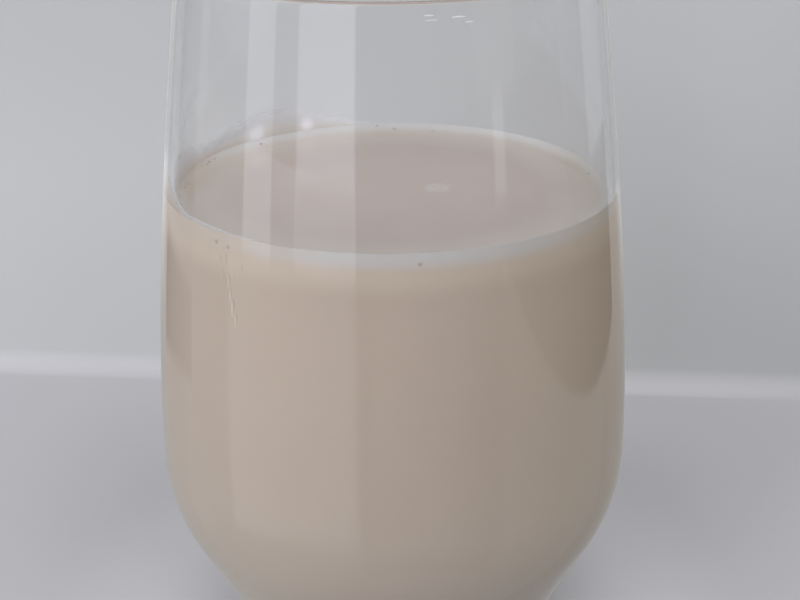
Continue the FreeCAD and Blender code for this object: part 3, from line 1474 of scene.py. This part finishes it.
@dataclass(frozen=True)
class SoftPanel:
    """A soft studio panel, which faces a point of the object and isn't seen itself.

    Azimuth 0 is the camera's side and 90 the right, in degrees.
    """

    name: str
    azimuth: float
    elevation: float
    width: float
    height: float
    radiance: float
    aim: Vector
    distance: float = 1.0

    def build(self) -> None:
        """Make the lamp, whose whole face has the given radiance."""
        azimuth, elevation = math.radians(self.azimuth), math.radians(self.elevation)
        level = math.cos(elevation)
        way = Vector((math.sin(azimuth) * level, -math.cos(azimuth) * level, math.sin(elevation)))
        lamp = bpy.data.lights.new(self.name, "AREA")
        lamp.shape = "RECTANGLE"
        lamp.size = self.width
        lamp.size_y = self.height
        lamp.energy = self.radiance * math.pi * self.width * self.height
        made = show(self.name, lamp)
        made.location = self.aim + way * self.distance
        made.rotation_mode = "QUATERNION"
        made.rotation_quaternion = way.to_track_quat("Z", "Y")
        made.visible_camera = False
        made.visible_transmission = False
        made.visible_glossy = False


@dataclass(frozen=True)
class RoomPatch:
    """A field of the room round the table, between two azimuths and two elevations in degrees.

    Azimuth 0 is the camera's side and 90 the right.  The low edge may bow: it then rises by
    bow times the square of the azimuth's distance from lowest_at.
    """

    first: float
    last: float
    low: float
    high: float
    radiance: float
    soft: float = 1.0
    tint: Colour = (1.0, 1.0, 1.0)
    bow: float = 0.0
    lowest_at: float = 0.0

    def colour(self) -> Colour:
        """Return the field's light as a colour."""
        return tuple(self.radiance * part for part in self.tint)

    def mask(self, make: TreeMaker, azimuth: Socket, elevation: Socket) -> Socket:
        """Mark the field.

        Args:
            make: Maker of the world's nodes.
            azimuth: Azimuth of the ray, in degrees.
            elevation: Elevation of the ray, in degrees.

        Returns:
            A value that is 1 inside the field and falls to 0 over its soft edges.
        """
        aside = make.maths("SUBTRACT", azimuth, self.lowest_at)
        above = make.maths("SUBTRACT", elevation, make.times(aside, aside, self.bow))
        return make.times(
            make.span(azimuth, self.first - self.soft, self.first + self.soft),
            make.span(azimuth, self.last + self.soft, self.last - self.soft),
            make.span(above, self.low - self.soft, self.low + self.soft),
            make.span(elevation, self.high + self.soft, self.high - self.soft),
        )


WINDOW_TINT = (0.97, 1.0, 1.08)


@dataclass(frozen=True)
class Room:
    """Light of the room: even above and below the table's height, with brighter and darker fields."""

    upper: float = 0.72
    lower: float = 0.47
    horizon: float = 3.0
    shown: Colour = (0.47, 0.475, 0.49)
    patches: tuple[RoomPatch, ...] = (
        RoomPatch(-181, -120, -70, -20, 0.40, soft=4.0),
        RoomPatch(120, 181, -70, -20, 0.38, soft=4.0),
        RoomPatch(-181, -150, -18, 30, 0.78, soft=4.0),
        RoomPatch(150, 181, -18, 30, 0.66, soft=4.0),
        RoomPatch(-17.5, 53, -12, 45, 0.10),
        RoomPatch(-17.5, 53, -50, -12, 0.22, soft=4.0),
        RoomPatch(-75.6, -59.2, -11, 45, 2.0, tint=WINDOW_TINT),
        RoomPatch(-59.2, -46.5, -11, 45, 0.6),
        RoomPatch(-46.5, -17.5, -10, 45, 2.35, tint=WINDOW_TINT),
        RoomPatch(-46.5, -17.5, -10, -5, 1.3, tint=WINDOW_TINT),
        RoomPatch(-84, -17.5, -32, -11, 1.0, soft=2.5),
        RoomPatch(53, 114, -22, 40, 0.03, soft=0.5, bow=0.0041, lowest_at=108),
        RoomPatch(112, 133, -22, -10, 0.03, soft=0.5, bow=0.0041, lowest_at=108),
        RoomPatch(42, 64, -2, 40, 0.35, soft=1.5),
        RoomPatch(50.5, 56.5, -6.5, -1, 1.3, soft=1.2),
        RoomPatch(-145, -112, -21.5, -16, 0.12, soft=0.8),
        RoomPatch(-133, -112, -13, 12, 0.10, soft=2.5),
    )

    def build(self) -> None:
        """Make the world, which shows as a pale wall and lights as the room does."""
        world = bpy.data.worlds.new("room")
        bpy.context.scene.world = world
        make = cleared(world)
        way = make.axes(make.node("ShaderNodeTexCoord").outputs["Generated"])
        toward = make.maths("MULTIPLY", way["Y"], -1.0)
        azimuth = make.maths("DEGREES", make.maths("ARCTAN2", way["X"], toward))
        elevation = make.maths("DEGREES", make.maths("ARCSINE", way["Z"]))
        above = make.span(elevation, -self.horizon, self.horizon)
        light = make.blend(above, (self.lower,) * 3, (self.upper,) * 3)
        for patch in self.patches:
            light = make.blend(patch.mask(make, azimuth, elevation), light, patch.colour())
        path = make.node("ShaderNodeLightPath").outputs
        seen = make.maths("MAXIMUM", path["Is Camera Ray"], path["Is Transmission Ray"])
        shown = {"Color": make.blend(seen, light, self.shown), "Strength": 1.0}
        glow = make.node("ShaderNodeBackground", shown)
        make.node("ShaderNodeOutputWorld", {0: glow.outputs[0]})


@dataclass(frozen=True)
class Viewpoint:
    """Camera that looks down on the glass from the front."""

    position: tuple[float, float, float] = (0.0, -233.2 * MM, 158.2 * MM)
    pitch: float = math.radians(22.015)
    yaw: float = math.radians(0.328)
    roll: float = math.radians(0.428)
    lens: float = 61.91
    sensor: float = 36.0
    nearest: float = MM
    farthest: float = 20.0

    def build(self) -> None:
        """Make the camera and give it to the scene."""
        data = bpy.data.cameras.new("viewpoint")
        data.lens = self.lens
        data.sensor_width = self.sensor
        data.clip_start = self.nearest
        data.clip_end = self.farthest
        camera = show("viewpoint", data)
        turn = Matrix.Rotation(-self.yaw, 4, "Z") @ Matrix.Rotation(QUARTER_TURN - self.pitch, 4, "X")
        rolled = turn @ Matrix.Rotation(-self.roll, 4, "Z")
        camera.matrix_world = Matrix.Translation(self.position) @ rolled
        bpy.context.scene.camera = camera


def main() -> None:
    """Build each piece and the studio in order, and report the pieces."""
    logging.basicConfig(level=logging.INFO, format="%(message)s")
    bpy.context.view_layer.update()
    bpy.context.scene.view_settings.view_transform = "Standard"
    glass = Tumbler.from_frame()
    drink = Drink.from_frame(glass)
    groups = Groups.build()
    turned = turned_tree()
    pieces = [
        DrinkingGlass(glass, ClearGlass()).build(turned),
        MilkFill(drink, AlmondMilk(groups, drink.level)).build(turned),
        MilkFilm(drink, FilmMilk(groups, drink.contact_radius)).build(),
    ]
    beads = beads_tree()
    for kind in (
        EdgeBubbles(drink, Froth(groups, "bubble_skin", (0.50, 0.44, 0.39))),
        SurfaceFroth(drink, Froth(groups, "froth_skin", (0.47, 0.42, 0.39))),
        # The drops' near-white colour is a painted glint.
        DropsWithPaintedGlints(drink, Froth(groups, "painted_glint_skin", (0.97, 0.97, 1.0))),
        PaleStreaks(drink, Froth(groups, "pale_streak_skin", (0.58, 0.51, 0.43))),
    ):
        pieces.append(kind.build(beads))
    for piece in pieces:
        log.info("%s: %d faces", piece.name, len(piece.data.polygons))
    middle = Vector((0.0, 0.0, drink.level))
    Backdrop().build()
    Room().build()
    SoftPanel("key", -60, 17, 0.9, 0.8, 2.85, middle).build()
    SoftPanel("fill", 45, 38, 0.9, 0.8, 1.6, middle).build()
    SoftPanel("ceiling", 60, 75, 1.3, 1.3, 1.0, middle).build()
    Viewpoint().build()


if __name__ == "__main__":
    main()
